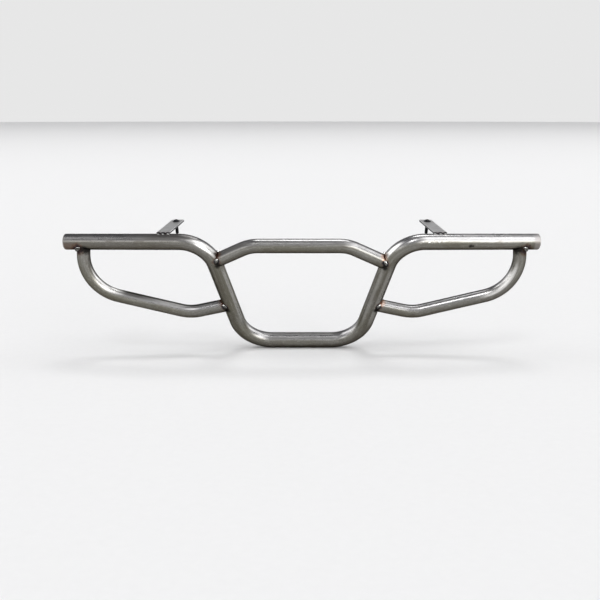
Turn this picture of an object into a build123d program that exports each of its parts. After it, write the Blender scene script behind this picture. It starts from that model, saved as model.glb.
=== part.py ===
from build123d import *
from math import cos, sin, tan, radians, sqrt
import os

# Rear bumper of a quad bike, tack welded from bent steel tube. Millimetres.
# +X is the right-hand side seen from behind the vehicle, +Y points forward to the
# vehicle and +Z is up. The shapes are drawn about the point midway between the two
# corners where the wings meet the legs, and then moved to the centre of their box.

# Tube sizes
main_tube_od = 38.1
crossbar_od = 33.7
loop_od = 31.75
tube_wall = 2.4
wing_bend_radius = 76.2
u_bend_radius = 88.9
crossbar_bend_radius = 76.2
loop_bend_radius = 101.6

# Main tube: two wings and a U between two legs, which lean forward going down
wing_corner_half_width = 220.0
wing_length = 347.5
wing_sweep_deg = 12.0
wing_droop_deg = 1.5
leg_lean_deg = 30.0
u_half_width = 142.0
u_depth = 309.5

# Crossbar, in the same leaning plane as the legs and tacked in a little left of the middle
crossbar_corner_half_width = 114.5
crossbar_shift = -7.0
crossbar_depth = 12.0
crossbar_incline_deg = 28.8

# Side loops, from under each wing's end round to the outside of each leg
loop_top_inset = 46.0
loop_flare = 10.0
loop_drop = 115.0
loop_lean_deg = 12.0
loop_kink_half_width = 271.0
loop_kink_drop = 178.5
loop_foot_depth = 190.5

# End caps
cap_thickness = 2.5
cap_edge_radius = 1.5

# Strap brackets, square to the wings and rising to the vehicle
strap_width = 31.75
strap_thickness = 4.0
strap_seat_offset = 103.0
strap_rear_overhang = 1.0
strap_reach = 113.0
strap_rise_deg = 9.0
strap_corner_radius = 5.0
strap_edge_distance = 17.0

# Flanged button-head bolt of each strap
bolt_diameter = 8.0
bolt_hole_clearance = 0.5
bolt_length = 30.0
bolt_point_chamfer = 1.0
thread_runout_diameter = 7.2
thread_runout_length = 1.2
flange_diameter = 17.5
flange_rim = 1.0
flange_root = 1.4
button_diameter = 12.6
button_flat_diameter = 7.0
button_radius = 5.2
head_height = 4.4
socket_across_flats = 5.0
socket_depth = 2.6

# Tack welds, with their places round each joint as angles on the branch tube
tack_length = 13.0
tack_radius = 5.0
leg_tack_degs = (0, 90, 225)
wing_tack_degs = (60, 130, 225)
strap_tack_length = 7.0
strap_tack_radius = 2.6

REAR, TOP, OUTER = Vector(0, -1, 0), Vector(0, 0, 1), Vector(1, 0, 0)
main_radius = main_tube_od / 2
bolt_radius = bolt_diameter / 2


def unit(v):
    return v / v.length


def square_part(v, axis):
    """The part of a vector that is square to a direction."""
    return v - axis * v.dot(axis)


def flipped(points):
    """The same points on the other side of the middle plane, in the opposite order."""
    return [Vector(-p.X, p.Y, p.Z) for p in reversed(points)]


def on_hoop(x, depth):
    """Point of the leaning plane at half width x, measured down the plane from the wings."""
    lean = radians(leg_lean_deg)
    return Vector(x, depth * sin(lean), -depth * cos(lean))


def on_leg(depth):
    """Point on the right leg's axis at a depth down the leaning plane."""
    share = depth / u_depth
    return on_hoop(wing_corner_half_width + share * (u_half_width - wing_corner_half_width), depth)


def on_wing(distance):
    """Point on the right wing's axis, measured outwards from its corner."""
    return on_hoop(wing_corner_half_width, 0) + wing_axis * distance


def bent_tube(points, radii, diameter, wall=None):
    """A round tube along straight runs and arcs. With no wall it is a solid bar."""
    route = FilletPolyline(*points, radius=radii)
    section = Circle(diameter / 2)
    if wall:
        section -= Circle(diameter / 2 - wall)
    return sweep(Plane(origin=route @ 0, z_dir=route % 0) * section, path=route)


def make_main_tube(wall=None):
    right = [on_wing(wing_length), on_wing(0), on_hoop(u_half_width, u_depth)]
    radii = [wing_bend_radius, u_bend_radius, u_bend_radius, wing_bend_radius]
    return bent_tube(right + flipped(right), radii, main_tube_od, wall)


def crossbar_half(shift):
    """End and corner of the crossbar's right half, its end on the leg's axis."""
    slope = tan(radians(crossbar_incline_deg))
    taper = (wing_corner_half_width - u_half_width) / u_depth
    corner_x = crossbar_corner_half_width + shift
    run = wing_corner_half_width - taper * crossbar_depth - corner_x
    run /= 1 + taper * slope
    end = on_hoop(corner_x + run, crossbar_depth + run * slope)
    return [end, on_hoop(corner_x, crossbar_depth)]


def make_crossbar(wall=None):
    route = crossbar_half(crossbar_shift) + flipped(crossbar_half(-crossbar_shift))
    return bent_tube(route, [crossbar_bend_radius] * 2, crossbar_od, wall)


def loop_route():
    """Corners of the right side loop, all in one plane so that the bends lie flat."""
    top = on_wing(wing_length + cap_thickness - loop_top_inset)
    corner = top + Vector(loop_flare, loop_drop * tan(radians(loop_lean_deg)), -loop_drop)
    foot = on_leg(loop_foot_depth)
    flat = (corner - top).cross(foot - top)
    dx = loop_kink_half_width - top.X
    dz = -loop_kink_drop
    kink = top + Vector(dx, -(flat.X * dx + flat.Z * dz) / flat.Y, dz)
    return [top, corner, kink, foot]


def make_side_loop(wall=None):
    return bent_tube(loop_route(), [loop_bend_radius] * 2, loop_od, wall)


def make_end_cap():
    seat = Plane(origin=on_wing(wing_length), z_dir=wing_axis)
    cap = extrude(seat * Circle(main_radius), cap_thickness)
    rim = cap.edges().sort_by(Axis((0, 0, 0), tuple(wing_axis)))[-1]
    return fillet(rim, cap_edge_radius)


def strap_plane():
    """Underside of the right strap: X across it, Y along it to the front, Z out of it."""
    ahead = unit(Vector(-wing_axis.Y, wing_axis.X, 0))
    up = wing_axis.cross(ahead)
    rise = radians(strap_rise_deg)
    normal = up * cos(rise) - ahead * sin(rise)
    seat = on_wing(strap_seat_offset) + normal * main_radius
    return Plane(origin=seat, x_dir=wing_axis, z_dir=normal)


def bolt_spot(height):
    """On the bolt's axis, at a height above the strap's underside."""
    return strap_plane() * Pos(0, strap_reach - strap_edge_distance, height)


def make_strap():
    length = strap_reach + strap_rear_overhang
    plate = Pos(0, strap_reach - length / 2, 0) * Rectangle(strap_width, length)
    plate = fillet(plate.vertices().group_by(Axis.Y)[-1], strap_corner_radius)
    hole = Circle(bolt_radius + bolt_hole_clearance)
    plate -= Pos(0, strap_reach - strap_edge_distance, 0) * hole
    return strap_plane() * extrude(plate, strap_thickness)


def make_bolt():
    """Flanged button head with a hex socket, plain grip, thread run-out and plain thread."""
    flange_radius = flange_diameter / 2
    neck_radius = thread_runout_diameter / 2
    thread_top = -strap_thickness - thread_runout_length
    flat_edge = (button_flat_diameter / 2, head_height)
    dome_foot = (button_diameter / 2, flange_root)
    outline = Polyline((0, head_height), flat_edge)
    outline += RadiusArc(flat_edge, dome_foot, button_radius)
    outline += Polyline(
        dome_foot,
        (flange_radius, flange_rim),
        (flange_radius, 0),
        (bolt_radius, 0),
        (bolt_radius, -strap_thickness),
        (neck_radius, -strap_thickness),
        (neck_radius, thread_top),
        (bolt_radius, thread_top),
        (bolt_radius, bolt_point_chamfer - bolt_length),
        (bolt_radius - bolt_point_chamfer, -bolt_length),
        (0, -bolt_length),
        (0, head_height),
    )
    bolt = revolve(Plane.XZ * make_face(outline), Axis.Z)
    hexagon = RegularPolygon(socket_across_flats / 2, 6, major_radius=False)
    bolt -= Pos(0, 0, head_height - socket_depth) * extrude(hexagon, socket_depth)
    return bolt_spot(strap_thickness) * bolt


class Run:
    """A straight run of tube: where it starts, its direction and its radius."""

    def __init__(self, start, end, diameter):
        self.start = start
        self.axis = unit(end - start)
        self.radius = diameter / 2


def seam(branch, host, side):
    """Where the branch's surface line on one side meets the host, and the seam's direction."""
    outward = unit(square_part(side, branch.axis))
    line_start = branch.start + outward * branch.radius
    across = square_part(line_start - host.start, host.axis)
    along = square_part(branch.axis, host.axis)
    a = along.dot(along)
    b = across.dot(along)
    c = across.dot(across) - host.radius**2
    spot = line_start - branch.axis * ((b + sqrt(b * b - a * c)) / a)
    host_outward = square_part(spot - host.start, host.axis)
    return spot, unit(outward.cross(host_outward))


def tack(spot, direction, length, radius, shells):
    """A round-ended bead lying along a seam, trimmed flush to what it joins."""
    run = length - 2 * radius
    bead = Cylinder(radius, run) + Pos(0, 0, run / 2) * Sphere(radius)
    bead += Pos(0, 0, -run / 2) * Sphere(radius)
    bead = Plane(origin=spot, z_dir=direction) * bead
    for shell in shells:
        bead -= shell
    return bead


def joint_tacks(branch, host, first, second, degrees, shells):
    """Tacks round a coped joint, at angles measured from one side of it to another."""
    beads = []
    for angle in degrees:
        side = first * cos(radians(angle)) + second * sin(radians(angle))
        spot, direction = seam(branch, host, side)
        beads.append(tack(spot, direction, tack_length, tack_radius, shells))
    return Compound(beads)


def make_crossbar_tacks(shift, bar):
    """Tacks of the crossbar's right end, or of its left end seen in a mirror."""
    end, corner = crossbar_half(shift)
    branch = Run(corner, end, crossbar_od)
    return joint_tacks(branch, leg, REAR, TOP, leg_tack_degs, [main_bar, bar])


def make_loop_foot_tacks():
    kink, foot = loop_route()[2:]
    branch = Run(kink, foot, loop_od)
    return joint_tacks(branch, leg, REAR, TOP, leg_tack_degs, [main_bar, loop_bar])


def make_loop_top_tacks():
    top, corner = loop_route()[:2]
    branch = Run(corner, top, loop_od)
    return joint_tacks(branch, wing, REAR, OUTER, wing_tack_degs, [main_bar, loop_bar])


def make_strap_tacks():
    """Three small tacks on top of the wing, against the strap's rear end."""
    outermost = (strap_width - strap_tack_length) / 2
    beads = []
    for across in (-outermost, 0, outermost):
        rear_edge = strap_plane() * Pos(across, -strap_rear_overhang, 0)
        reach = 2 * strap_tack_length
        ahead = rear_edge * Pos(0, reach / 2, 0) * Box(reach, reach, reach)
        shells = [main_bar, ahead]
        spot = rear_edge.position
        beads.append(tack(spot, wing_axis, strap_tack_length, strap_tack_radius, shells))
    return Compound(beads)


sweep_angle = radians(wing_sweep_deg)
droop_angle = radians(wing_droop_deg)
wing_axis = Vector(
    cos(sweep_angle) * cos(droop_angle), sin(sweep_angle) * cos(droop_angle), -sin(droop_angle)
)
wing = Run(on_wing(0), on_wing(wing_length), main_tube_od)
leg = Run(on_leg(0), on_leg(u_depth), main_tube_od)

# Solid bars of the tubes' outer shape, which cope the branch tubes and trim the tacks
main_bar = make_main_tube()
crossbar_bar = make_crossbar()
loop_bar = make_side_loop()

pieces = {
    "main_tube": make_main_tube(tube_wall),
    "crossbar": make_crossbar(tube_wall) - main_bar,
}
right_pieces = {
    "side_loop": make_side_loop(tube_wall) - main_bar,
    "end_cap": make_end_cap(),
    "strap_bracket": make_strap(),
    "strap_bolt": make_bolt(),
    "loop_foot_tacks": make_loop_foot_tacks(),
    "loop_top_tacks": make_loop_top_tacks(),
    "strap_tacks": make_strap_tacks(),
}
for name, piece in right_pieces.items():
    pieces["right_" + name] = piece
    pieces["left_" + name] = mirror(piece, about=Plane.YZ)

crossbar_seen_in_mirror = mirror(crossbar_bar, about=Plane.YZ)
left_tacks = make_crossbar_tacks(-crossbar_shift, crossbar_seen_in_mirror)
pieces["right_crossbar_tacks"] = make_crossbar_tacks(crossbar_shift, crossbar_bar)
pieces["left_crossbar_tacks"] = mirror(left_tacks, about=Plane.YZ)

middle = Compound(list(pieces.values())).bounding_box().center()
os.makedirs("parts", exist_ok=True)
for name, piece in pieces.items():
    export_step(Location(-middle) * piece, f"parts/{name}.step")
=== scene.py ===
import random
from math import atan2, ceil, cos, pi, radians, sin, sqrt, tan

import bmesh
import bpy
from mathutils import Matrix, Vector
from mathutils.bvhtree import BVHTree


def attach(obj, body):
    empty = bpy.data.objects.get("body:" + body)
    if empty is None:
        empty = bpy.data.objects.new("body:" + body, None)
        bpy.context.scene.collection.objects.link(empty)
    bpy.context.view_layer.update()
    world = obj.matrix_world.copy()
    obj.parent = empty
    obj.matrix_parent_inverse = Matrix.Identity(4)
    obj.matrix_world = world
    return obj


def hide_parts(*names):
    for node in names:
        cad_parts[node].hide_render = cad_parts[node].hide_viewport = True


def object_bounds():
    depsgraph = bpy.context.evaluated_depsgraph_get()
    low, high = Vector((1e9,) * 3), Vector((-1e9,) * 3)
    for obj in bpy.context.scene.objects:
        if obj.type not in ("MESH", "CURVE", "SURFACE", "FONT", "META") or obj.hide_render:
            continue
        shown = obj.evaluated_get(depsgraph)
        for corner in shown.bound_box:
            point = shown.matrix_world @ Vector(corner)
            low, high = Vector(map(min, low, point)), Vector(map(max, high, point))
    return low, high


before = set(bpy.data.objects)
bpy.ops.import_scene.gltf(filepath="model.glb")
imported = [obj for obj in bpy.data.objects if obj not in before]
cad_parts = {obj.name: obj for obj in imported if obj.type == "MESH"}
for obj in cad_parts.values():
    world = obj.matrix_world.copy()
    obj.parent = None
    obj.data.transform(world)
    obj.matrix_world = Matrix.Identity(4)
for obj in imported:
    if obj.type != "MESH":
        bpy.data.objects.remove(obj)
cad_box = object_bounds()


# Main tube
# One length of 1.5 inch mill-finish steel tube, bent four times over a die: a wing, a leg,
# the bottom of the U, the other leg and the other wing. Every other tube and both straps
# are welded to it. It is bare steel with the faint lines and stains of the rolling mill.

main_tube_radius = 0.01905
tube_wall = 0.0024
wing_corner = Vector((0.2200, -0.081475, 0.123555))
wing_sweep = radians(12)
wing_droop = radians(1.5)
wing_length = 0.3475
u_corner = Vector((0.1420, 0.073275, -0.144480))
wing_bend_radius = 0.0762
u_bend_radius = 0.0889
tube_sides = 72
tube_crisp_angle = radians(50)
bend_step = radians(3)
ring_gap = 0.012

brown_steel = (0.178, 0.171, 0.140)
grey_steel = (0.205, 0.199, 0.182)
painted_sheen_grey = (0.48, 0.475, 0.48)
drawn_band = (0.42, 0.415, 0.39)
bare_fleck = (0.46, 0.45, 0.42)
rolled_line = (0.10, 0.095, 0.08)
stain_brown = (0.115, 0.100, 0.080)
shaded_underside_brown = (0.070, 0.060, 0.044)
painted_shade_dark = (0.030, 0.028, 0.024)
painted_reflection_grey = (0.44, 0.43, 0.41)
painted_highlight_pale = (0.80, 0.79, 0.77)
dressed_steel = (0.36, 0.33, 0.32)
left_wing_brown = (0.075, 0.062, 0.052)
wing_end_brown = (0.15, 0.11, 0.09)
scuff_black = (0.02, 0.018, 0.016)

# Where painted shade, painted highlights, painted reflections and other marks fade in, or in and
# out again: in X and Z, and in how far the steel faces up
bottom_z = (-0.114, -0.134)
bottom_x = (-0.105, -0.075, 0.075, 0.105)
bottom_top_up = (0.74, 0.87)
bottom_back_up = (0.28, 0.42, 0.52, 0.64)
bottom_back_share = 0.6
wing_shade_x = (-0.41, -0.34, -0.265, -0.235)
wing_shade_up = (0.25, 0.45)
left_wing_brown_x = (-0.20, -0.28)
painted_leg_reflections_z = (-0.115, -0.07, 0.035, 0.075)
painted_leg_reflections_x = 0.01
shoulders_z = (0.065, 0.085)
shoulders_x = (0.12, 0.15)
painted_glints_x = (0.26, 0.28, 0.31, 0.36)
dressed_x = (0.549, 0.554)
brown_end_x = (-0.515, -0.535)
brown_end_up = (0.15, -0.25)

# Painted reflections down the legs and painted highlights at the shoulders: the direction that
# each faces, how squarely it starts and is full, its strength, and its side of the middle
painted_leg_reflections = [
    (Vector((0.78, -0.610, -0.13)), (0.95, 1.0), 0.75, -1),
    (Vector((-0.60, -0.75, -0.27)), (0.96, 1.0), 0.35, 1),
    (Vector((0.42, -0.74, -0.53)), (0.90, 0.98), 0.38, 1),
]
painted_shoulder_highlights = [
    (Vector((0.40, -0.87, 0.29)), (0.90, 0.98), 0.80, -1),
    (Vector((-0.70, -0.62, 0.34)), (0.91, 0.98), 0.95, 1),
]
# Scuffs on the back of the right wing: how far along it, and how large
scuffs = [(0.174, 0.0065), (0.180, 0.0040)]
scuff_turn = radians(25)

wing_direction = Vector(
    (cos(wing_sweep) * cos(wing_droop), sin(wing_sweep) * cos(wing_droop), -sin(wing_droop))
)


def for_side(side, v):
    """A point or direction of the right half, or its twin on the left where side is -1."""
    return Vector((v.x * side, v.y, v.z))


def along_wing(distance):
    return wing_corner + wing_direction * distance


class Ring:
    """One cross-section of a tube: its centre, its turn in space and its distance along."""

    def __init__(self, centre, turn, reach):
        self.centre = centre
        self.turn = turn
        self.reach = reach

    def out(self, angle):
        return self.turn @ Vector((cos(angle), sin(angle), 0))


def rings_along(points, radii):
    """Rings down a tube's straight runs and arcs, close together where it bends."""
    heading = (points[1] - points[0]).normalized()
    turn = heading.to_track_quat("Z", "Y").to_matrix()
    here, reach, rings = points[0], 0.0, []
    for corner, after, radius in zip(points[1:], points[2:] + [None], radii + [0]):
        onward = (after - corner).normalized() if after else heading
        angle = heading.angle(onward)
        end = corner - heading * radius * tan(angle / 2)
        run = (end - here).length
        count = max(1, round(run / ring_gap))
        for k in range(count):
            share = k / count
            rings.append(Ring(here.lerp(end, share), turn, reach + run * share))
        here, reach = end, reach + run
        if after:
            axis = heading.cross(onward).normalized()
            middle = here + axis.cross(heading) * radius
            steps = ceil(angle / bend_step)
            for k in range(steps):
                spin = Matrix.Rotation(angle * k / steps, 3, axis)
                place = middle + spin @ (here - middle)
                rings.append(Ring(place, spin @ turn, reach + radius * angle * k / steps))
            spin = Matrix.Rotation(angle, 3, axis)
            here = middle + spin @ (here - middle)
            turn, heading, reach = spin @ turn, onward, reach + radius * angle
    rings.append(Ring(here, turn, reach))
    return rings


def skin(name, rows, joined=False):
    """A closed mesh over rows of as many points each, joined in a ring or capped at both ends."""
    count, sides = len(rows), len(rows[0])
    faces = []
    for row in range(count if joined else count - 1):
        low, high = row * sides, (row + 1) % count * sides
        for k in range(sides):
            n = (k + 1) % sides
            faces.append((low + k, low + n, high + n, high + k))
    if not joined:
        faces.append(tuple(reversed(range(sides))))
        faces.append(tuple(range((count - 1) * sides, count * sides)))
    mesh = bpy.data.meshes.new(name)
    mesh.from_pydata([tuple(point) for row in rows for point in row], [], faces)
    outward = bmesh.new()
    outward.from_mesh(mesh)
    bmesh.ops.recalc_face_normals(outward, faces=outward.faces)
    outward.to_mesh(mesh)
    outward.free()
    mesh.shade_smooth()
    return place_in_scene(name, mesh)


def place_in_scene(name, mesh):
    piece = bpy.data.objects.new(name, mesh)
    bpy.context.scene.collection.objects.link(piece)
    return piece


def sharpen(piece, angle):
    """Keeps the edges that turn by more than an angle crisp."""
    piece.data.set_sharp_from_angle(angle=angle)


def tube(name, rings, radius, copes=()):
    """A hollow tube through its rings, with its coped ends laid on their hosts.

    Each point also keeps its place on the tube as it was before bending, so that the
    marks of rolling and drawing run along the tube and round its bends.
    """
    angles = [2 * pi * k / tube_sides for k in range(tube_sides)]
    rows, flat = [], []
    for size, order in ((radius, 1), (radius - tube_wall, -1)):
        lines = []
        for angle in angles:
            line = [(r.centre + r.out(angle) * size, r.reach) for r in rings]
            for cope in copes:
                cope.lay(line, angle, size)
            lines.append(line)
        for i in range(len(rings))[::order]:
            rows.append([line[i][0] for line in lines])
            flat += [
                (cos(angle) * size, sin(angle) * size, line[i][1])
                for angle, line in zip(angles, lines)
            ]
    piece = skin(name, rows, joined=True)
    sharpen(piece, tube_crisp_angle)
    unbent = piece.data.attributes.new("unbent", "FLOAT_VECTOR", "POINT")
    unbent.data.foreach_set("vector", [number for place in flat for number in place])
    return piece


class Link:
    """What a node gives out. Sums on it add Math nodes to the same material."""

    def __init__(self, finish, socket):
        self.finish = finish
        self.socket = socket

    def sum(self, operation, first, second):
        settings = {"operation": operation}
        return self.finish.node("Math", settings, {0: first, 1: second})

    def __add__(self, other):
        return self.sum("ADD", self, other)

    def __sub__(self, other):
        return self.sum("SUBTRACT", self, other)

    def __rsub__(self, other):
        return self.sum("SUBTRACT", other, self)

    def __mul__(self, other):
        return self.sum("MULTIPLY", self, other)

    __radd__ = __add__
    __rmul__ = __mul__

    def least(self, other):
        return self.sum("MINIMUM", self, other)

    def rise(self, low, high):
        """0 at low, 1 at high and smooth in between. It falls where low is the larger."""
        settings = {"interpolation_type": "SMOOTHSTEP"}
        if low > high:
            return 1 - self.rise(high, low)
        return self.finish.node("MapRange", settings, {0: self, 1: low, 2: high})

    def between(self, start, full, fading, end):
        """1 from full to fading, and smoothly down to 0 at the start and at the end."""
        return self.rise(start, full) * self.rise(end, fading)


class Finish:
    """A surface finish, put together node by node."""

    def __init__(self, name, kind=bpy.data.materials):
        self.made = kind.new(name)
        self.made.use_nodes = True
        self.tree = self.made.node_tree
        self.tree.nodes.clear()

    def node(self, kind, settings, sockets, output=0):
        """A node of a kind: first its settings, then the values or links of its sockets."""
        made = self.tree.nodes.new("ShaderNode" + kind)
        for name, value in settings.items():
            if name == "stops":
                ramp = made.color_ramp.elements
                for _ in value[2:]:
                    ramp.new(1)
                for stop, (position, colour) in zip(ramp, value):
                    stop.position, stop.color = position, (*colour, 1)
            else:
                setattr(made, name, value)
        for name, value in sockets.items():
            if isinstance(value, Link):
                self.tree.links.new(value.socket, made.inputs[name])
            else:
                made.inputs[name].default_value = value
        return Link(self, made.outputs[output]) if made.outputs else made

    def place(self):
        return self.node("TexCoord", {}, {}, "Object")

    def upward(self):
        """How far the surface faces up: 1 on top, 0 on the sides and -1 underneath."""
        return self.node("SeparateXYZ", {}, {0: self.node("NewGeometry", {}, {}, "Normal")}, "Z")

    def facing(self, direction):
        """How far the surface faces a direction, from -1 to 1."""
        normal = self.node("NewGeometry", {}, {}, "Normal")
        return self.vector("DOT_PRODUCT", normal, direction, "Value")

    def coordinate(self, axis):
        return self.node("SeparateXYZ", {}, {0: self.place()}, axis)

    def vector(self, operation, first, second, output="Vector"):
        settings = {"operation": operation}
        return self.node("VectorMath", settings, {0: first, 1: second}, output)

    def noise(self, place, scale, detail=3.0, roughness=0.55):
        sockets = {"Vector": place, "Scale": scale, "Detail": detail, "Roughness": roughness}
        return self.node("TexNoise", {}, sockets)

    def blend(self, share, first, second):
        """A colour from the first to the second."""
        colours = [c if isinstance(c, Link) else (*c, 1) for c in (first, second)]
        settings = {"data_type": "RGBA"}
        return self.node("Mix", settings, {0: share, 6: colours[0], 7: colours[1]}, 2)

    def bump(self, height, depth):
        return self.node("Bump", {}, {"Height": height, "Distance": depth})

    def surface(self, **sockets):
        """Closes the finish with what its surface is like."""
        named = {name.replace("_", " "): value for name, value in sockets.items()}
        shader = self.node("BsdfPrincipled", {}, named)
        self.node("OutputMaterial", {}, {"Surface": shader})
        self.shader = shader.socket.node

    def under(self, name):
        """What feeds one of the surface's sockets at present."""
        return Link(self, self.shader.inputs[name].links[0].from_socket)

    def recoat(self, name, link):
        self.tree.links.new(link.socket, self.shader.inputs[name])

    def put_on(self, piece):
        piece.data.materials.clear()
        piece.data.materials.append(self.made)


def raw_steel(name, shift):
    """Mill-finish tube: grey-brown steel, lined along its length, stained and a little dull.

    Its upper side is painted lighter, as a painted sheen of the light from above, and its
    underside is painted darker and browner, as painted shade.
    """
    steel = Finish(name)
    unbent = steel.node("Attribute", {"attribute_name": "unbent"}, {}, "Vector")
    unbent = steel.vector("ADD", unbent, shift)

    def drawn_out(stretch, scale, detail, roughness):
        """Noise that is drawn out along the tube."""
        place = steel.vector("MULTIPLY", unbent, (1, 1, stretch))
        return steel.noise(place, scale, detail, roughness)

    lines = drawn_out(0.03, 700, 4, 0.7)
    bands = drawn_out(0.05, 110, 2, 0.5)
    mottle = drawn_out(0.40, 240, 4, 0.65)
    stains = drawn_out(0.35, 75, 4, 0.65)
    drift = steel.noise(unbent, 7, 2, 0.5)
    # Painted sheen: the more the steel faces up, the lighter its colour is painted, and the
    # fainter its marks are there.
    crown = steel.upward().rise(0.0, 0.48)
    below_sheen = 1 - crown * 0.6
    colour = steel.blend(drift.rise(0.35, 0.65), brown_steel, grey_steel)
    colour = steel.blend(crown * 0.9, colour, painted_sheen_grey)
    colour = steel.blend(bands.rise(0.50, 0.66) * 0.30, colour, drawn_band)
    colour = steel.blend(stains.rise(0.50, 0.66) * below_sheen * 0.45, colour, stain_brown)
    colour = steel.blend(mottle.rise(0.54, 0.74) * below_sheen * 0.40, colour, bare_fleck)
    colour = steel.blend(lines.rise(0.52, 0.68) * below_sheen * 0.40, colour, rolled_line)
    # Painted shade: the underside is painted darker and browner.
    colour = steel.blend(steel.upward().rise(0.0, -0.95) * 0.80, colour, shaded_underside_brown)
    dull = 0.23 + stains.rise(0.4, 0.7) * 0.08 + mottle * 0.05 + lines.rise(0.5, 0.7) * 0.05
    steel.surface(
        Base_Color=colour,
        Metallic=1.0,
        Roughness=dull,
        Specular_Tint=(0.25, 0.25, 0.25, 1.0),
        Normal=steel.bump(lines * 0.6 + mottle * 0.15, depth=0.00004),
    )
    return steel


def paint_shade(steel, where, strength):
    """Paints shade on part of a tube's finish: a near-black colour there, and duller steel."""
    share = where * strength
    steel.recoat("Base Color", steel.blend(share, steel.under("Base Color"), painted_shade_dark))
    steel.recoat("Roughness", steel.under("Roughness") + share * 0.22)


def tint(steel, where, strength, colour):
    """Turns part of a finish towards a colour, brighter or darker than it was."""
    steel.recoat("Base Color", steel.blend(where * strength, steel.under("Base Color"), colour))


def stain(steel, spot, reach, strength, colour):
    """A ragged patch of one colour that fades out from a spot."""
    place = steel.place()
    ragged = (steel.noise(place, 260, 4, 0.65) - 0.5) * reach * 0.8
    near = (steel.vector("DISTANCE", place, spot, "Value") + ragged).rise(reach, reach * 0.3)
    tint(steel, near, strength, colour)


right_half = [along_wing(wing_length), wing_corner, u_corner]
main_rings = rings_along(
    right_half + [for_side(-1, point) for point in reversed(right_half)],
    [wing_bend_radius, u_bend_radius, u_bend_radius, wing_bend_radius],
)
main_tube = tube("main_tube_skin", main_rings, main_tube_radius)
main_steel = raw_steel("main tube steel", (0.0, 0.0, 0.0))
main_up = main_steel.upward()
main_x, main_z = main_steel.coordinate("X"), main_steel.coordinate("Z")

# Painted shade: the top of the U's bottom run and a band on its upper front are darkened, and so
# is the upper side of the left wing near its strap.
bottom_back = main_up.between(*bottom_back_up) * main_x.between(*bottom_x)
bottom_shade = main_up.rise(*bottom_top_up) + bottom_back * bottom_back_share
paint_shade(main_steel, main_z.rise(*bottom_z) * bottom_shade, strength=1.0)
wing_shade = main_up.rise(*wing_shade_up) * main_x.between(*wing_shade_x)
paint_shade(main_steel, wing_shade, strength=0.6)
# The tube is tinted darker and browner on the left, from x = -0.20 outward.
tint(main_steel, main_x.rise(*left_wing_brown_x), 0.28, left_wing_brown)

# Painted reflections: lighter lines down the legs where they face given directions.
for direction, squarely, strength, side in painted_leg_reflections:
    line = main_steel.facing(direction).rise(*squarely) * main_z.between(*painted_leg_reflections_z)
    tint(main_steel, line * main_x.rise(0, side * painted_leg_reflections_x), strength, painted_reflection_grey)
# Painted highlights: pale patches at the tops of the legs where they face given directions.
for direction, squarely, strength, side in painted_shoulder_highlights:
    highlight_share = main_steel.facing(direction).rise(*squarely) * main_z.rise(*shoulders_z)
    beyond = main_x.rise(*(side * x for x in shoulders_x))
    tint(main_steel, highlight_share * beyond, strength, painted_highlight_pale)

# Painted glints: pale flecks on the back of the right wing, where it faces the light.
wing_back = Vector((sin(wing_sweep), -cos(wing_sweep), 0))
painted_glints = main_steel.noise(main_steel.place(), 190, 4, 0.65).rise(0.53, 0.60)
lit = main_steel.facing(wing_back + Vector((0, 0, 0.10))).rise(0.975, 1.0)
tint(main_steel, painted_glints * main_x.between(*painted_glints_x) * lit, 0.75, painted_highlight_pale)
scuff_out = wing_back * cos(scuff_turn) - Vector((0, 0, sin(scuff_turn)))
for distance, reach in scuffs:
    spot = along_wing(distance) + scuff_out * main_tube_radius
    stain(main_steel, spot, reach, 0.95, scuff_black)

dressed = main_x.rise(*dressed_x)
main_steel.recoat("Roughness", main_steel.under("Roughness") + dressed * 0.12)
tint(main_steel, dressed, 0.45, dressed_steel)
brown_end = main_x.rise(*brown_end_x) * main_up.rise(*brown_end_up)
tint(main_steel, brown_end, 0.7, wing_end_brown)
main_steel.put_on(main_tube)
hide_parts("main_tube")
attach(main_tube, "root")


# Crossbar
# A shorter length of 1 inch pipe with a shallow bend near each end, which joins the two
# legs just below the wings. Its ends are notched to sit on the legs, and it went in a
# little to the left of the middle.

crossbar_radius = 0.01685
crossbar_bend_radius = 0.0762
crossbar_right_end = Vector((0.203654, -0.049045, 0.067384))
crossbar_right_corner = Vector((0.1075, -0.075475, 0.113163))
crossbar_left_end = Vector((-0.205357, -0.052424, 0.073238))
crossbar_left_corner = Vector((-0.1215, -0.075475, 0.113163))

# Where its painted shade fades in, or in and out again: in X, and in how far the steel faces up
left_end_x = (-0.115, -0.145)
left_end_up = (0.10, 0.45)
middle_run_x = (0.135, 0.095)
middle_run_up = (0.20, 0.40, 0.62, 0.80)


def surface_of(piece):
    mesh = piece.data
    corners = [vertex.co.copy() for vertex in mesh.vertices]
    return BVHTree.FromPolygons(corners, [tuple(face.vertices) for face in mesh.polygons])


class Cope:
    """A tube's notched end: where each line of its skin meets the host that it sits on."""

    def __init__(self, rings, radius, host, last):
        self.end = len(rings) - 1 if last else 0
        straight = [i for i, ring in enumerate(rings) if ring.turn == rings[self.end].turn]
        self.bend = straight[0] if last else straight[-1]
        self.ring = rings[self.bend]
        self.heading = self.ring.turn @ Vector((0, 0, 1 if last else -1))
        self.radius = radius
        self.host = host

    def meet(self, angle, size):
        """Where a line meets the host, and the host's normal there."""
        start = self.ring.centre + self.ring.out(angle) * size
        place, normal, _, _ = self.host.ray_cast(start, self.heading)
        return place, -normal if normal.dot(self.heading) > 0 else normal

    def lay(self, line, angle, size):
        """Stretches the straight end of one line of the skin until it meets the host."""
        start, reach = line[self.bend]
        foot = self.meet(angle, size)[0]
        length = (foot - start).length * (1 if self.end else -1)
        for i in range(min(self.bend, self.end), max(self.bend, self.end) + 1):
            share = (i - self.bend) / (self.end - self.bend)
            line[i] = (start.lerp(foot, share), reach + length * share)

    def angle_towards(self, direction):
        turned = self.ring.turn.transposed() @ direction
        return atan2(turned.y, turned.x)


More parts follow.
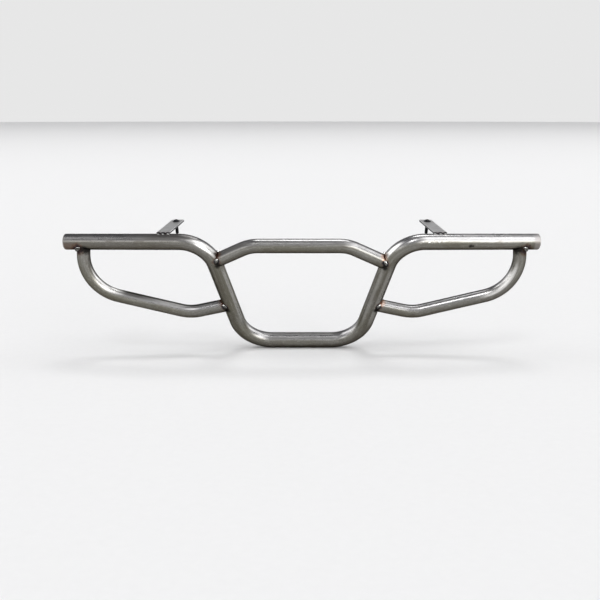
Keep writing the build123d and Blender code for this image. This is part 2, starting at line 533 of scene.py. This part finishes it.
main_surface = surface_of(main_tube)
crossbar_rings = rings_along(
    [crossbar_right_end, crossbar_right_corner, crossbar_left_corner, crossbar_left_end],
    [crossbar_bend_radius, crossbar_bend_radius],
)
crossbar_copes = {
    1: Cope(crossbar_rings, crossbar_radius, main_surface, last=False),
    -1: Cope(crossbar_rings, crossbar_radius, main_surface, last=True),
}
crossbar = tube("crossbar_skin", crossbar_rings, crossbar_radius, crossbar_copes.values())
crossbar_steel = raw_steel("crossbar steel", (0.31, 0.17, 0.0))
crossbar_up, crossbar_x = crossbar_steel.upward(), crossbar_steel.coordinate("X")
# Painted shade: the upper side of the left end and a band on the upper front of the middle run
# are darkened, dimming their highlights.
left_end_shade = crossbar_up.rise(*left_end_up) * crossbar_x.rise(*left_end_x)
paint_shade(crossbar_steel, left_end_shade, strength=0.6)
middle_shade = crossbar_up.between(*middle_run_up) * crossbar_x.rise(*middle_run_x)
paint_shade(crossbar_steel, middle_shade, strength=0.55)
crossbar_steel.put_on(crossbar)
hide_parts("crossbar")
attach(crossbar, "root")


# Crossbar tack welds
# Three short beads hold each end of the crossbar to its leg: at the back, on top and low
# at the front. They are single stops of the torch, so each is a shiny rippled lump with
# soot and a brown heat stain round it on both tubes.

tack_radius = 0.0052
tack_stretch = 1.2
tack_bulge = 0.42
tack_steps = 28
bead_sides = 12
bead_taper = 2.2
bead_least_swell = 0.0004
bead_sink = 0.0004
bead_shake = 0.00006
ripple_gap = 0.0017
ripple_depth = 0.06
leg_tack_angles = [radians(0), radians(90), radians(225)]
leg_scorch_reach = 0.014

weld_painted_highlight = (0.90, 0.91, 0.89)
weld_grey = (0.16, 0.155, 0.145)
weld_dark = (0.035, 0.033, 0.030)
soot = (0.012, 0.011, 0.010)
heat_brown = (0.07, 0.022, 0.010)
blue_oxide = (0.035, 0.04, 0.055)
brown_oxide = (0.13, 0.06, 0.03)
orange_oxide = (0.66, 0.40, 0.27)
straw_oxide = (0.30, 0.20, 0.10)
sides_and_oxides = ((1, "right", orange_oxide), (-1, "left", brown_oxide))


def bead_rows(stations, radius, seed):
    """Cross-sections of a weld bead, from places on its seam.

    Each station is (share along the bead from -1 to 1, seam point, toe on one side and toe
    on the other as functions of the bead's reach, outward direction).
    """
    shake = random.Random(seed)
    phase = shake.uniform(0, 2 * pi)
    lean = shake.uniform(-0.15, 0.15)
    rows = []
    for share, root, toe_a, toe_b, outward in stations:
        swell = sqrt(max(1 - abs(share) ** bead_taper, bead_least_swell)) * (1 + lean * share)
        length = radius * tack_stretch * 2
        ripple = sin(share * length / ripple_gap * pi + phase) * ripple_depth
        reach = radius * swell * (1 + ripple * 0.5)
        first, second = toe_a(reach), toe_b(reach)
        row = [root - outward * bead_sink]
        for k in range(bead_sides + 1):
            t = k / bead_sides
            crown = radius * tack_bulge * sin(pi * t) ** 0.8 * swell * (1 + ripple)
            crown += shake.uniform(-1, 1) * bead_shake
            row.append(first.lerp(second, t) + outward * crown)
        rows.append(row)
    return rows


def joint_bead(name, cope, direction, radius, seed):
    """A tack on the seam of a coped joint, on the side of the branch that faces a direction."""
    middle = cope.angle_towards(direction)
    step = 0.02
    pace = (cope.meet(middle + step, cope.radius)[0] - cope.meet(middle, cope.radius)[0]).length
    half = radius * tack_stretch / (pace / step)
    stations = []
    for k in range(tack_steps + 1):
        share = 2 * k / tack_steps - 1
        angle = middle + half * share
        root, normal = cope.meet(angle, cope.radius)
        side = cope.ring.out(angle)
        away = (side - normal * side.dot(normal)).normalized()

        def on_branch(reach, root=root):
            return root - cope.heading * reach

        def on_host(reach, root=root, away=away):
            return cope.host.find_nearest(root + away * reach)[0]

        stations.append((share, root, on_branch, on_host, (side + normal).normalized()))
    bead = skin(name, bead_rows(stations, radius, seed))
    return bead, cope.meet(middle, cope.radius)[0]


def weld_metal(name, shift, painted_gleam):
    """Weld metal: darker in clouds, rippled, sooty at its toes, and painted pale on its upper
    side as a painted highlight.
    """
    metal = Finish(name)
    place = metal.vector("ADD", metal.place(), shift)
    grain = metal.noise(place, 900, 4, 0.6)
    cloud = metal.noise(place, 240, 3, 0.6)
    colour = metal.blend(cloud.rise(0.40, 0.62), weld_grey, weld_dark)
    # Painted highlight: the upper side of the weld is painted toward a pale colour.
    colour = metal.blend(metal.upward().rise(0.05, 0.32), colour, painted_gleam)
    metal.surface(
        Base_Color=colour,
        Metallic=1.0,
        Roughness=0.14 + grain * 0.12,
        Normal=metal.bump(grain, depth=0.00004),
    )
    return metal


def scorch(steel, spots, reach, strength):
    """Burns a finish round its tacks: soot, then blue, brown and straw."""
    place = steel.place()
    far = steel.vector("DISTANCE", place, spots[0], "Value")
    for spot in spots[1:]:
        far = far.least(steel.vector("DISTANCE", place, spot, "Value"))
    ragged = (steel.noise(place, 150, 4, 0.65) - 0.5) * reach * 0.9
    heat = (far + ragged).rise(reach, 0.002)
    stops = [(0.0, straw_oxide), (0.30, brown_oxide), (0.66, blue_oxide), (0.90, soot)]
    oxides = steel.node("ValToRGB", {"stops": stops}, {0: heat})
    tint(steel, heat.rise(0.02, 0.70), strength, oxides)
    burnt = heat.rise(0.55, 0.95)
    steel.recoat("Roughness", steel.under("Roughness") * (1 - burnt) + burnt * 0.5)


def join(name, pieces):
    """One piece from several, which keep their own closed skins."""
    together = bmesh.new()
    for piece in pieces:
        together.from_mesh(piece.data)
        bpy.data.objects.remove(piece)
    mesh = bpy.data.meshes.new(name)
    together.to_mesh(mesh)
    together.free()
    mesh.shade_smooth()
    return place_in_scene(name, mesh)


def tacks_round(joint, cope, first, second, angles, radius, steels, reach, oxide, seed):
    """A joint's tacks at angles from a first direction to a second, and what they scorch."""
    name, node = f"{joint}_welds", f"{joint}_tacks"
    beads, spots = [], []
    for k, angle in enumerate(angles):
        direction = first * cos(angle) + second * sin(angle)
        bead, spot = joint_bead(f"{name}.{k}", cope, direction, radius, seed + k)
        beads.append(bead)
        spots.append(spot)
    tacks = join(name, beads)
    weld_metal(name.replace("_", " ") + " metal", (seed, 0, 0), weld_painted_highlight).put_on(tacks)

    def on_seam(lean):
        """A spot on the seam, on the first side or leaning from there to the second."""
        return cope.meet(cope.angle_towards(first + second * lean), cope.radius)[0]

    for steel in steels:
        scorch(steel, spots, reach, 0.95)
        stain(steel, on_seam(1.0), reach, 0.55, oxide)
        for lean in (0.6, 1.0, 1.7):
            stain(steel, on_seam(lean), reach * 0.28, 0.95, heat_brown)
        stain(steel, on_seam(-0.9), reach * 0.80, 0.95, soot)
        stain(steel, on_seam(-0.2), reach * 0.55, 0.80, soot)
    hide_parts(node)
    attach(tacks, "root")


backward, upward, sideways = Vector((0, -1, 0)), Vector((0, 0, 1)), Vector((1, 0, 0))
for side, hand, oxide in sides_and_oxides:
    tacks_round(
        f"{hand}_crossbar", crossbar_copes[side], backward, upward, leg_tack_angles,
        tack_radius, [main_steel, crossbar_steel], leg_scorch_reach, oxide, seed=10 + side,
    )


# Side loops
# A 1.25 inch tube on each side, bent twice in one plane, from under the wing's outer end
# round to the outside of the leg. Both ends are notched and tacked. The upper joint was
# welded hot and is burnt nearly black.

loop_radius = 0.015875
loop_bend_radius = 0.1016
loop_points = [
    Vector((0.517255, -0.018292, 0.115598)),
    Vector((0.527255, 0.006152, 0.000598)),
    Vector((0.271000, 0.018695, -0.062902)),
    Vector((0.171990, 0.013775, -0.041422)),
]
wing_tack_angles = [radians(42), radians(115), radians(225)]
wing_tack_radius = 0.0065
wing_scorch_reach = 0.022
burnt_oxide = (0.045, 0.026, 0.018)

# The painted highlight at each bend and the painted shade on each side, as for the other tubes
painted_loop_highlights = {1: Vector((-0.27, -0.88, 0.39)), -1: Vector((0.38, -0.61, 0.69))}
painted_loop_highlight_squarely = (0.80, 0.94)
loop_bend_x = (0.42, 0.46)
crown_shade_up = {1: (0.82, 0.94), -1: (0.74, 0.88)}
left_shade_x = (-0.31, -0.40)
left_shade_up = (0.20, 0.60)
inner_shade_squarely = (0.80, 0.98)

for side, hand, oxide in sides_and_oxides:
    loop_rings = rings_along(
        [for_side(side, point) for point in loop_points], [loop_bend_radius, loop_bend_radius]
    )
    top_cope = Cope(loop_rings, loop_radius, main_surface, last=False)
    foot_cope = Cope(loop_rings, loop_radius, main_surface, last=True)
    loop = tube(f"{hand}_side_loop_skin", loop_rings, loop_radius, (top_cope, foot_cope))
    loop_steel = raw_steel(f"{hand} loop steel", (0.0, 0.5 * side, 0.7 * side))
    loop_up, loop_x = loop_steel.upward(), loop_steel.coordinate("X")
    # Painted shade: each loop's top is darkened.
    paint_shade(loop_steel, loop_up.rise(*crown_shade_up[side]), strength=0.9)
    at_bend = loop_x.rise(*(side * x for x in loop_bend_x))
    # Painted highlight: a pale patch at each bend, where it faces a given direction.
    highlight_share = loop_steel.facing(painted_loop_highlights[side]).rise(*painted_loop_highlight_squarely) * at_bend
    # Painted shade: the upper side of the left loop's outer run is darkened, apart from the
    # painted highlight.
    left_shade = loop_up.rise(*left_shade_up) * loop_x.rise(*left_shade_x) * (1 - highlight_share)
    paint_shade(loop_steel, left_shade, strength=0.75)
    tint(loop_steel, highlight_share, 0.9, painted_highlight_pale)
    # Painted shade: the side of each loop that faces the middle is darkened.
    inner = loop_steel.facing(for_side(-side, sideways)).rise(*inner_shade_squarely)
    paint_shade(loop_steel, inner, strength=0.7)
    loop_steel.put_on(loop)
    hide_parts(f"{hand}_side_loop")
    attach(loop, "root")
    tacks_round(
        f"{hand}_loop_foot", foot_cope, backward, upward, leg_tack_angles,
        tack_radius, [main_steel, loop_steel], leg_scorch_reach, oxide, seed=20 + side,
    )
    tacks_round(
        f"{hand}_loop_top", top_cope, backward, for_side(side, sideways), wing_tack_angles,
        wing_tack_radius, [main_steel, loop_steel], wing_scorch_reach, burnt_oxide,
        seed=30 + side,
    )


# End caps
# A plain steel disc closes each wing's outer end. It is welded round its rim and dressed
# with a grinding disc until it is flush with the tube, so it shows fine grinding marks.

ground_grey = (0.24, 0.23, 0.22)
ground_pale = (0.36, 0.35, 0.33)
ground_brown = (0.13, 0.11, 0.09)


def ground_steel(name, centre, axis, shift):
    """Steel dressed with a disc: fine arcs about a centre, with a brighter face."""
    steel = Finish(name)
    place = steel.vector("SUBTRACT", steel.place(), centre)
    apart = steel.vector("CROSS_PRODUCT", place, axis)
    radius = steel.node("VectorMath", {"operation": "LENGTH"}, {0: apart}, "Value")
    arcs = steel.noise(steel.node("CombineXYZ", {}, {0: radius * 60, 1: shift}), 40, 3, 0.6)
    cloud = steel.noise(steel.vector("ADD", place, (shift, 0, 0)), 110, 3, 0.6)
    colour = steel.blend(arcs.rise(0.35, 0.65), ground_grey, ground_pale)
    colour = steel.blend(cloud.rise(0.45, 0.75) * 0.5, colour, ground_brown)
    steel.surface(
        Base_Color=colour,
        Metallic=1.0,
        Roughness=0.30 + arcs * 0.15,
        Normal=steel.bump(arcs, depth=0.00010),
    )
    return steel


for side, hand in ((1, "right"), (-1, "left")):
    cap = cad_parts[f"{hand}_end_cap"]
    cap_steel = ground_steel(
        f"{hand} cap steel", for_side(side, along_wing(wing_length)),
        for_side(side, wing_direction), 3.0 + side,
    )
    cap_steel.put_on(cap)


# Strap brackets
# A strip of 1.25 inch flat bar is welded on top of each wing, square to it, and rises to the
# front. Its front corners are rounded and it is drilled for one bolt. The bar is cleaner and
# lighter than the tube, with fine scratches along its length.

strap_width = 0.03175
strap_thickness = 0.004
strap_seat = 0.103
strap_rear = 0.001
strap_front = 0.113
strap_rise = radians(9)
strap_corner_radius = 0.005
strap_hole_radius = 0.0045
strap_edge = 0.0004
strap_crisp_angle = radians(35)
bolt_from_front = 0.017
corner_steps = 8
hole_sides = 48

bar_pale = (0.58, 0.58, 0.58)
bar_grey = (0.48, 0.475, 0.47)
bar_scratch = (0.30, 0.295, 0.29)
bar_painted_edge_highlight = (0.75, 0.75, 0.75)
bar_painted_side_shade = (0.03, 0.03, 0.03)
# Across the bar, the middle that its painted edge highlights leave clear
bar_middle_x = (-0.0146, -0.0136, 0.0136, 0.0146)


def strap_frame(side):
    """Underside of a strap: X across it, Y along it to the front and Z out of its top."""
    wing = for_side(side, wing_direction)
    ahead = Vector((-wing.y * side, wing.x * side, 0)).normalized()
    up = wing.cross(ahead) * side
    normal = up * cos(strap_rise) - ahead * sin(strap_rise)
    along = ahead * cos(strap_rise) + up * sin(strap_rise)
    seat = for_side(side, along_wing(strap_seat)) + normal * main_tube_radius
    turn = Matrix((along.cross(normal), along, normal)).transposed()
    return Matrix.Translation(seat) @ turn.to_4x4()


def arc(centre, radius, start, end, steps):
    """Points on an arc in the plane, from a start angle to an end angle."""
    turns = [start + (end - start) * k / steps for k in range(steps + 1)]
    return [(centre[0] + radius * cos(t), centre[1] + radius * sin(t)) for t in turns]


def circle(centre, radius, sides):
    """Points all round a circle in the plane."""
    return arc(centre, radius, 0, 2 * pi * (sides - 1) / sides, sides - 1)


def plate(name, outlines, thickness, edge, matrix):
    """A flat plate with its holes and slightly rounded edges, its underside on a plane."""
    curve = bpy.data.curves.new(name, "CURVE")
    curve.dimensions, curve.fill_mode = "2D", "BOTH"
    curve.extrude, curve.bevel_depth = thickness / 2 - edge, edge
    curve.bevel_resolution, curve.offset = 2, -edge
    for outline in outlines:
        line = curve.splines.new("POLY")
        line.points.add(len(outline) - 1)
        for point, (x, y) in zip(line.points, outline):
            point.co = (x, y, 0, 1)
        line.use_cyclic_u = True
    drawn = place_in_scene(name + ".outline", curve)
    mesh = bpy.data.meshes.new_from_object(drawn)
    bpy.data.objects.remove(drawn)
    mesh.name = name
    mesh.transform(matrix @ Matrix.Translation((0, 0, thickness / 2)))
    mesh.shade_smooth()
    piece = place_in_scene(name, mesh)
    sharpen(piece, strap_crisp_angle)
    return piece


def flat_bar(name, matrix, shift):
    """Cold-drawn flat bar: pale, satin and scratched along its length, with painted highlights
    along its long edges and painted shade on its sides.
    """
    bar = Finish(name)
    place = bar.node("Mapping", {"vector_type": "TEXTURE"}, {
        "Vector": bar.place(),
        "Location": matrix.translation,
        "Rotation": matrix.to_euler(),
    })
    place = bar.vector("ADD", place, (shift, 0, 0))
    lines = bar.noise(bar.vector("MULTIPLY", place, (1, 0.04, 1)), 900, 4, 0.7)
    cloud = bar.noise(place, 60, 4, 0.6)
    colour = bar.blend(cloud.rise(0.35, 0.70), bar_pale, bar_grey)
    colour = bar.blend(lines.rise(0.55, 0.75) * 0.5, colour, bar_scratch)
    across = bar.node("SeparateXYZ", {}, {0: place}, "X") - shift
    # Painted highlights along the long edges, and painted shade on the side faces.
    colour = bar.blend(1 - across.between(*bar_middle_x), colour, bar_painted_edge_highlight)
    top = bar.facing(matrix.to_3x3() @ Vector((0, 0, 1)))
    colour = bar.blend(top.between(-0.3, -0.1, 0.1, 0.3), colour, bar_painted_side_shade)
    bar.surface(
        Base_Color=colour,
        Metallic=1.0,
        Roughness=0.32 + lines * 0.15 + cloud * 0.08,
        Normal=bar.bump(lines, depth=0.00008),
    )
    return bar


strap_steels = {}
for side, hand in ((1, "right"), (-1, "left")):
    half = strap_width / 2
    inner_y = strap_front - strap_corner_radius
    inner_x = half - strap_corner_radius
    outline = [(-half, -strap_rear), (half, -strap_rear)]
    outline += arc((inner_x, inner_y), strap_corner_radius, 0, pi / 2, corner_steps)
    outline += arc((-inner_x, inner_y), strap_corner_radius, pi / 2, pi, corner_steps)
    hole = circle((0, strap_front - bolt_from_front), strap_hole_radius, hole_sides)
    strap = plate(
        f"{hand}_strap", [outline, hole], strap_thickness, strap_edge, strap_frame(side)
    )
    strap_steels[side] = flat_bar(f"{hand} strap steel", strap_frame(side), 2.0 + side)
    strap_steels[side].put_on(strap)
    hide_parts(f"{hand}_strap_bracket")
    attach(strap, "root")


# Strap tack welds
# Three small tacks hold each strap's rear end down on top of the wing. They are steel weld
# metal like the others, but with a fainter painted highlight on top, and they scorched the wing
# and the strap a little.

strap_tack_length = 0.007
strap_tack_radius = 0.0022
strap_tack_steps = 16
strap_weld_painted_highlight = (0.45, 0.45, 0.44)


def strap_bead(name, side, middle, seed):
    """A tack between the strap's rear end and the wing below it."""
    matrix = strap_frame(side)
    turn = matrix.to_3x3()
    stations = []
    for k in range(strap_tack_steps + 1):
        share = 2 * k / strap_tack_steps - 1
        edge = matrix @ Vector((middle + strap_tack_length / 2 * share, -strap_rear, 0))
        root = main_surface.find_nearest(edge)[0]

        def on_strap(reach, edge=edge):
            return edge + turn @ Vector((0, 0, reach * 0.8))

        def on_wing(reach, edge=edge):
            return main_surface.find_nearest(edge + turn @ Vector((0, -reach * 1.2, -reach)))[0]

        stations.append((share, root, on_strap, on_wing, turn @ Vector((0, -0.8, 0.6))))
    return skin(name, bead_rows(stations, strap_tack_radius, seed))


for side, hand in ((1, "right"), (-1, "left")):
    outermost = (strap_width - strap_tack_length) / 2
    places = (-outermost, 0, outermost)
    tacks = join(
        f"{hand}_strap_welds",
        [strap_bead(f"{hand}_strap_welds.{k}", side, x, 40 + k) for k, x in enumerate(places)],
    )
    weld_metal(f"{hand} strap weld metal", (side, 0, 0), strap_weld_painted_highlight).put_on(tacks)
    spots = [strap_frame(side) @ Vector((x, -strap_rear, 0)) for x in places]
    scorch(main_steel, spots, 0.007, 0.8)
    scorch(strap_steels[side], spots, 0.009, 0.9)
    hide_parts(f"{hand}_strap_tacks")
    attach(tacks, "root")


# Bolts
# A flanged button-head M8 bolt goes down through each strap. It is black oxide, with a hex
# socket, and it is rubbed grey in patches.

bolt_sides = 48
bolt_crisp_angle = radians(28)
bolt_radius = 0.004
bolt_length = 0.030
thread_pitch = 0.00125
thread_depth = 0.00077
thread_start = 0.0052
thread_steps = 10
thread_flat_share = 0.12
thread_neck_radius = 0.0036
point_inset = 0.0007
point_pitches = 1.2
grip_length = 0.004
flange_radius = 0.00875
flange_rim = 0.0010
flange_root = 0.0014
flange_edge = 0.0003
button_radius = 0.0063
button_curve = 0.0052
button_flat_radius = 0.0035
button_steps = 8
head_height = 0.0044
socket_half_flats = 0.0025
socket_depth = 0.0026
socket_chamfer = 0.0003

oxide_black = (0.018, 0.018, 0.020)
oxide_rubbed = (0.16, 0.155, 0.15)


def black_oxide(name, shift):
    """Black oxide on steel: near black, semi-matt, with rubbed grey patches."""
    black = Finish(name)
    place = black.vector("ADD", black.place(), (shift, 0, 0))
    worn = black.noise(place, 320, 4, 0.65)
    grain = black.noise(place, 1400, 3, 0.6)
    black.surface(
        Base_Color=black.blend(worn.rise(0.58, 0.72) * 0.7, oxide_black, oxide_rubbed),
        Metallic=0.85,
        Roughness=0.38 + grain * 0.2,
        Normal=black.bump(grain, depth=0.00006),
    )
    return black


def bolt_rows():
    """Rows of points up a bolt, from its point to the floor of its socket, about +Z."""
    turns = [2 * pi * k / bolt_sides for k in range(bolt_sides)]
    rows = []
    threaded = int((bolt_length - thread_start) / thread_pitch * thread_steps)
    for i in range(threaded + 1):
        pitches = i / thread_steps
        height = -bolt_length + i * thread_pitch / thread_steps
        taper = min(1, pitches / point_pitches)
        row = []
        for t in turns:
            phase = (pitches - t / (2 * pi)) % 1
            groove = max(0, abs(phase - 0.5) * 2 - thread_flat_share) / (1 - thread_flat_share)
            radius = bolt_radius - thread_depth * groove - (1 - taper) * point_inset
            row.append(Vector((radius * cos(t), radius * sin(t), height)))
        rows.append(row)
    profile = [
        (thread_neck_radius, -thread_start),
        (bolt_radius, -grip_length),
        (bolt_radius, 0),
        (flange_radius - flange_edge, 0),
        (flange_radius, flange_edge),
        (flange_radius, flange_rim - flange_edge),
        (flange_radius - flange_edge, flange_rim),
    ]
    foot, flat = Vector((button_radius, flange_root)), Vector((button_flat_radius, head_height))
    chord = flat - foot
    inward = Vector((-chord.y, chord.x)).normalized()
    middle = foot + chord / 2 + inward * sqrt(button_curve**2 - (chord.length / 2) ** 2)
    start, end = (atan2((p - middle).y, (p - middle).x) for p in (foot, flat))
    profile += arc(middle, button_curve, start, end, button_steps)
    profile.append((socket_half_flats / cos(pi / 6) + socket_chamfer, head_height))
    rows += [[Vector((r * cos(t), r * sin(t), z)) for t in turns] for r, z in profile]
    for height in (head_height - socket_chamfer, head_height - socket_depth):
        row = []
        for t in turns:
            radius = socket_half_flats / cos((t + pi / 6) % (pi / 3) - pi / 6)
            row.append(Vector((radius * cos(t), radius * sin(t), height)))
        rows.append(row)
    return rows


for side, hand in ((1, "right"), (-1, "left")):
    spot = Matrix.Translation((0, strap_front - bolt_from_front, strap_thickness))
    bolt = skin(f"{hand}_bolt", bolt_rows())
    bolt.data.transform(strap_frame(side) @ spot)
    sharpen(bolt, bolt_crisp_angle)
    black_oxide(f"{hand} bolt oxide", 5.0 + side).put_on(bolt)
    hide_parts(f"{hand}_strap_bolt")
    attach(bolt, "root")


# Studio
# A plain pale floor and a pale surround that is darker overhead. Round soft lights stand at
# the right, front and left, and flat softboxes overhead and at both sides draw the long
# bright lines down the tubes. The camera looks slightly down from straight behind.

floor_radius = 40.0
floor_sides = 96
paper_low, paper_high = (0.77, 0.77, 0.77), (0.80, 0.80, 0.80)
overhead_grey = (0.12, 0.12, 0.13)
horizon_white = (0.80, 0.80, 0.80)
horizon_fade = (0.70, 0.12)
# Each soft light's name, direction, strength and spread
soft_lights = [
    ("key light", Vector((0.485, -0.408, 0.774)), 0.85, radians(38)),
    ("front light", Vector((-0.14, -0.64, 0.76)), 0.45, radians(18)),
    ("low light", Vector((0.564, -0.805, 0.20)), 1.1, radians(36)),
    ("left low light", Vector((-0.564, -0.805, 0.20)), 0.14, radians(22)),
]
# Each softbox's name, direction, width and depth, and glow
softboxes = [
    ("strip light", Vector((0.10, 0.350, 0.933)), (13.0, 9.0), 5.6),
    ("right softbox", Vector((0.80, 0.14, 0.50)), (16.0, 30.0), 1.8),
    ("left softbox", Vector((-0.80, -0.04, 0.48)), (24.0, 27.0), 1.8),
]
softbox_distance = 30.0
camera_place = Vector((-0.004, -2.374, 0.4294))
camera_look_down = radians(10.924)


def soft_light(name, direction, strength, spread):
    """A far, round soft light that shines from a direction."""
    lamp = bpy.data.lights.new(name, "SUN")
    lamp.energy, lamp.angle = strength, spread
    holder = place_in_scene(name, lamp)
    holder.rotation_euler = direction.to_track_quat("Z", "Y").to_euler()


def softbox(name, direction, size, glow):
    """A far rectangular light, which shows as an even bright patch on polished steel."""
    lamp = bpy.data.lights.new(name, "AREA")
    lamp.shape, lamp.size, lamp.size_y = "RECTANGLE", *size
    lamp.energy = pi * size[0] * size[1] * glow
    holder = place_in_scene(name, lamp)
    holder.location = direction.normalized() * softbox_distance
    holder.rotation_euler = direction.to_track_quat("Z", "Y").to_euler()


floor_level = cad_box[0].z
floor_edge = [(x, y, floor_level) for x, y in circle((0, 0), floor_radius, floor_sides)]
floor_mesh = bpy.data.meshes.new("floor")
floor_mesh.from_pydata(floor_edge, [], [tuple(range(floor_sides))])
floor = place_in_scene("floor", floor_mesh)
paper = Finish("floor paper")
tooth = paper.noise(paper.place(), 60, 3, 0.6)
paper.surface(Base_Color=paper.blend(tooth, paper_low, paper_high), Roughness=0.9)
paper.put_on(floor)

for name, direction, strength, spread in soft_lights:
    soft_light(name, direction, strength, spread)
for name, direction, size, glow in softboxes:
    softbox(name, direction, size, glow)

surround = Finish("surround", bpy.data.worlds)
sky = surround.node("SeparateXYZ", {}, {0: surround.node("TexCoord", {}, {}, "Generated")}, "Z")
pale = surround.blend(sky.rise(*horizon_fade), overhead_grey, horizon_white)
shell = surround.node("Background", {}, {"Color": pale, "Strength": 1.0})
surround.node("OutputWorld", {}, {"Surface": shell})
bpy.context.scene.world = surround.made
bpy.context.scene.view_settings.view_transform = "Standard"

lens = bpy.data.cameras.new("camera")
lens.lens, lens.sensor_width = 60, 36
camera = place_in_scene("camera", lens)
camera.location = camera_place
camera.rotation_euler = (pi / 2 - camera_look_down, 0, 0)
bpy.context.scene.camera = camera
